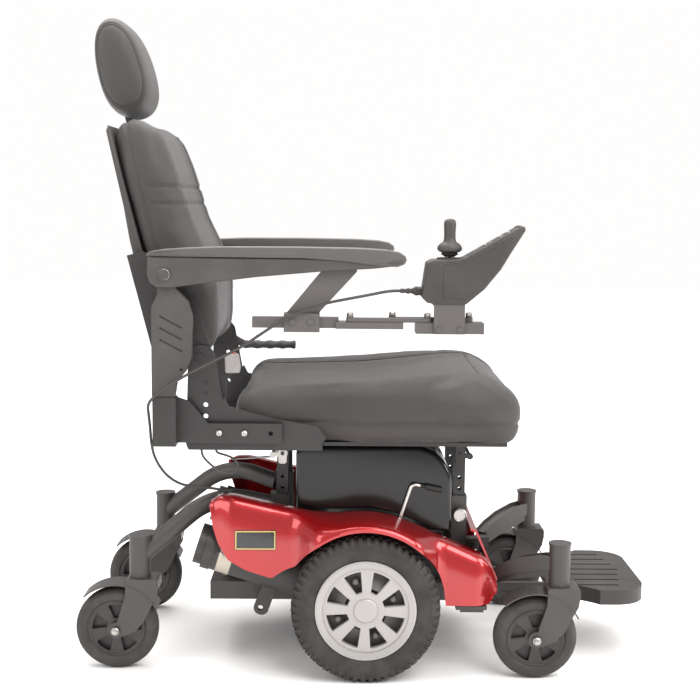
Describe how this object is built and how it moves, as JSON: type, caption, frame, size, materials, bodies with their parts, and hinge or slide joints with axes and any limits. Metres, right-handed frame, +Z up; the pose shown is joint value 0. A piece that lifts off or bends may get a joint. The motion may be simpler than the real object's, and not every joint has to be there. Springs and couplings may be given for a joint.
{
  "type": "power wheelchair",
  "caption": "Mid-wheel power wheelchair with red shrouds, a padded captain's seat, headrest, flip-up armrests, folding footplate and a swing-away joystick.",
  "frame": {"origin": "on the floor under the middle of the drive axle", "axes": "+X the way the chair drives, +Y the sitter's left, +Z up"},
  "size_m": [1.26, 0.692, 1.4304],
  "materials": {
    "frame_paint": "satin powder coat",
    "red_gloss": "glossy",
    "cover_black": "glossy",
    "black_plastic": "fine texture",
    "battery_case": "matte",
    "motor_black": "satin paint",
    "rim_silver": "satin",
    "drive_rubber": "matte",
    "caster_rubber": "matte",
    "caster_rim": "satin",
    "lever_silver": "satin",
    "vinyl": "fine grain",
    "arm_pad": "soft touch",
    "webbing": "woven",
    "cable_jacket": "satin",
    "steel": "zinc plated",
    "key_grey": "satin"
  },
  "bodies": {
    "base": {"chassis_frame": "frame_paint", "batteries": "battery_case", "power_module": "motor_black", "gearmotors": "motor_black", "rear_arms": "frame_paint", "battery_cover": "cover_black", "front_cover": "red_gloss", "shroud_right": "red_gloss", "shroud_left": "red_gloss"},
    "wheel_right": {"drive_tyre_right": "drive_rubber", "drive_rim_right": "rim_silver"},
    "wheel_left": {"drive_tyre_left": "drive_rubber", "drive_rim_left": "rim_silver"},
    "freewheel_right": {"freewheel_lever_right": "lever_silver"},
    "freewheel_left": {"freewheel_lever_left": "lever_silver"},
    "front_arm_right": {"front_arm_right": "frame_paint"},
    "front_arm_left": {"front_arm_left": "frame_paint"},
    "fork_front_right": {"caster_fork_front_right": "frame_paint"},
    "caster_front_right": {"caster_tyre_front_right": "caster_rubber", "caster_rim_front_right": "caster_rim"},
    "fork_front_left": {"caster_fork_front_left": "frame_paint"},
    "caster_front_left": {"caster_tyre_front_left": "caster_rubber", "caster_rim_front_left": "caster_rim"},
    "fork_rear_right": {"caster_fork_rear_right": "frame_paint"},
    "caster_rear_right": {"caster_tyre_rear_right": "caster_rubber", "caster_rim_rear_right": "caster_rim"},
    "fork_rear_left": {"caster_fork_rear_left": "frame_paint"},
    "caster_rear_left": {"caster_tyre_rear_left": "caster_rubber", "caster_rim_rear_left": "caster_rim"},
    "footplate": {"footplate": "black_plastic"},
    "seat": {"seat_posts": "frame_paint", "seat_frame": "frame_paint", "seat_cushion": "vinyl", "seat_belt": "webbing", "controller_cable": "cable_jacket"},
    "front_latch": {"front_latch": "black_plastic"},
    "rear_latch": {"rear_latch": "steel"},
    "back": {"back_frame": "frame_paint", "back_shell": "black_plastic", "back_cushion": "vinyl"},
    "recline_lever": {"recline_lever": "black_plastic"},
    "headrest": {"headrest_post": "frame_paint", "headrest_cushion": "vinyl"},
    "arm_post_right": {"arm_post_right": "black_plastic"},
    "arm_post_left": {"arm_post_left": "black_plastic"},
    "armrest_right": {"arm_frame_right": "black_plastic", "arm_pad_right": "arm_pad", "controller_bracket": "frame_paint"},
    "armrest_left": {"arm_frame_left": "black_plastic", "arm_pad_left": "arm_pad"},
    "slide_bar": {"slide_bar": "frame_paint"},
    "outer_link": {"outer_link": "frame_paint"},
    "inner_link": {"inner_link": "frame_paint"},
    "controller": {"controller_mount": "frame_paint", "controller_case": "black_plastic"},
    "gimbal": {"gimbal": "steel"},
    "joystick": {"joystick": "black_plastic"},
    "key_power": {"key_power": "key_grey"},
    "key_horn": {"key_horn": "key_grey"},
    "key_speed": {"key_speed": "key_grey"}
  },
  "joints": [
    {"name": "drive_right", "type": "hinge", "parent": "base", "child": "wheel_right", "pos_m": [0, -0.28, 0.159], "axis": [0, 1, 0], "continuous": true},
    {"name": "drive_left", "type": "hinge", "parent": "base", "child": "wheel_left", "pos_m": [0, 0.28, 0.159], "axis": [0, 1, 0], "continuous": true},
    {"name": "freewheel_right_turn", "type": "hinge", "parent": "base", "child": "freewheel_right", "pos_m": [0.062, -0.196, 0.292], "axis": [0, 1, 0], "range_deg": [0, 30]},
    {"name": "freewheel_left_turn", "type": "hinge", "parent": "base", "child": "freewheel_left", "pos_m": [0.062, 0.196, 0.292], "axis": [0, 1, 0], "range_deg": [0, 30]},
    {"name": "suspension_right", "type": "hinge", "parent": "base", "child": "front_arm_right", "pos_m": [0.262, -0.14, 0.188], "axis": [0, -1, 0], "range_deg": [0, 8], "stiffness_Nm_per_rad": 150, "springref_deg": -11.46},
    {"name": "suspension_left", "type": "hinge", "parent": "base", "child": "front_arm_left", "pos_m": [0.262, 0.14, 0.188], "axis": [0, -1, 0], "range_deg": [0, 8], "stiffness_Nm_per_rad": 150, "springref_deg": -11.46},
    {"name": "swivel_front_right", "type": "hinge", "parent": "front_arm_right", "child": "fork_front_right", "pos_m": [0.416, -0.255, 0.2], "axis": [0, 0, 1], "continuous": true},
    {"name": "roll_front_right", "type": "hinge", "parent": "fork_front_right", "child": "caster_front_right", "pos_m": [0.366, -0.255, 0.09], "axis": [0, 1, 0], "continuous": true},
    {"name": "swivel_front_left", "type": "hinge", "parent": "front_arm_left", "child": "fork_front_left", "pos_m": [0.416, 0.255, 0.2], "axis": [0, 0, 1], "continuous": true},
    {"name": "roll_front_left", "type": "hinge", "parent": "fork_front_left", "child": "caster_front_left", "pos_m": [0.366, 0.255, 0.09], "axis": [0, 1, 0], "continuous": true},
    {"name": "swivel_rear_right", "type": "hinge", "parent": "base", "child": "fork_rear_right", "pos_m": [-0.49, -0.208, 0.2], "axis": [0, 0, 1], "continuous": true},
    {"name": "roll_rear_right", "type": "hinge", "parent": "fork_rear_right", "child": "caster_rear_right", "pos_m": [-0.54, -0.208, 0.09], "axis": [0, 1, 0], "continuous": true},
    {"name": "swivel_rear_left", "type": "hinge", "parent": "base", "child": "fork_rear_left", "pos_m": [-0.49, 0.208, 0.2], "axis": [0, 0, 1], "continuous": true},
    {"name": "roll_rear_left", "type": "hinge", "parent": "fork_rear_left", "child": "caster_rear_left", "pos_m": [-0.54, 0.208, 0.09], "axis": [0, 1, 0], "continuous": true},
    {"name": "footplate_fold", "type": "hinge", "parent": "base", "child": "footplate", "pos_m": [0.428, 0, 0.141], "axis": [0, -1, 0], "range_deg": [0, 90]},
    {"name": "seat_height", "type": "slide", "parent": "base", "child": "seat", "axis": [0, 0, 1], "range_m": [0, 0.05], "deforming": ["controller_cable"]},
    {"name": "front_latch_turn", "type": "hinge", "parent": "seat", "child": "front_latch", "pos_m": [0.209, 0, 0.463], "axis": [0, -1, 0], "range_deg": [0, 25]},
    {"name": "rear_latch_turn", "type": "hinge", "parent": "seat", "child": "rear_latch", "pos_m": [-0.184, 0, 0.463], "axis": [0, 1, 0], "range_deg": [0, 15]},
    {"name": "recline", "type": "hinge", "parent": "seat", "child": "back", "pos_m": [-0.351, 0, 0.694], "axis": [0, -1, 0], "range_deg": [-65, 25], "deforming": ["seat_belt"]},
    {"name": "recline_lever_lift", "type": "hinge", "parent": "seat", "child": "recline_lever", "pos_m": [-0.33, 0.28, 0.672], "axis": [0, -1, 0], "range_deg": [0, 20], "stiffness_Nm_per_rad": 2, "springref_deg": -17.19},
    {"name": "headrest_height", "type": "slide", "parent": "back", "child": "headrest", "axis": [-0.2504, 0, 0.9681], "range_m": [0, 0.08]},
    {"name": "arm_height_right", "type": "slide", "parent": "seat", "child": "arm_post_right", "axis": [0, 0, 1], "range_m": [0, 0.05]},
    {"name": "arm_height_left", "type": "slide", "parent": "seat", "child": "arm_post_left", "axis": [0, 0, 1], "range_m": [0, 0.05]},
    {"name": "armrest_flip_right", "type": "hinge", "parent": "arm_post_right", "child": "armrest_right", "pos_m": [-0.416, -0.312, 0.868], "axis": [0, -1, 0], "range_deg": [0, 90]},
    {"name": "armrest_flip_left", "type": "hinge", "parent": "arm_post_left", "child": "armrest_left", "pos_m": [-0.416, 0.312, 0.868], "axis": [0, -1, 0], "range_deg": [0, 90]},
    {"name": "controller_reach", "type": "slide", "parent": "armrest_right", "child": "slide_bar", "axis": [1, 0, 0], "range_m": [-0.02, 0.05]},
    {"name": "swing_outer", "type": "hinge", "parent": "slide_bar", "child": "outer_link", "pos_m": [-0.0385, -0.324, 0.778], "axis": [0, 0, 1], "range_deg": [-110, 0]},
    {"name": "swing_inner", "type": "hinge", "parent": "slide_bar", "child": "inner_link", "pos_m": [0.0487, -0.3, 0.778], "axis": [0, 0, 1], "range_deg": [-110, 0]},
    {"name": "swing_case", "type": "hinge", "parent": "outer_link", "child": "controller", "pos_m": [0.1195, -0.324, 0.778], "axis": [0, 0, 1], "range_deg": [0, 110]},
    {"name": "joystick_side", "type": "hinge", "parent": "controller", "child": "gimbal", "pos_m": [0.1635, -0.312, 0.899], "axis": [1, 0, 0], "range_deg": [-15, 15], "stiffness_Nm_per_rad": 0.35},
    {"name": "joystick_forward", "type": "hinge", "parent": "gimbal", "child": "joystick", "pos_m": [0.1635, -0.312, 0.899], "axis": [0, 1, 0], "range_deg": [-15, 15], "stiffness_Nm_per_rad": 0.35},
    {"name": "press_power", "type": "slide", "parent": "controller", "child": "key_power", "axis": [0.4953, 0, -0.8687], "range_m": [0, 0.001], "stiffness_N_per_m": 600, "springref_m": -0.001},
    {"name": "press_horn", "type": "slide", "parent": "controller", "child": "key_horn", "axis": [0.4953, 0, -0.8687], "range_m": [0, 0.001], "stiffness_N_per_m": 600, "springref_m": -0.001},
    {"name": "press_speed", "type": "slide", "parent": "controller", "child": "key_speed", "axis": [0.4953, 0, -0.8687], "range_m": [0, 0.001], "stiffness_N_per_m": 600, "springref_m": -0.001}
  ],
  "couplings": [
    {"joint": "swing_inner", "follows": "swing_outer", "ratio": 1},
    {"joint": "swing_case", "follows": "swing_outer", "ratio": -1}
  ]
}
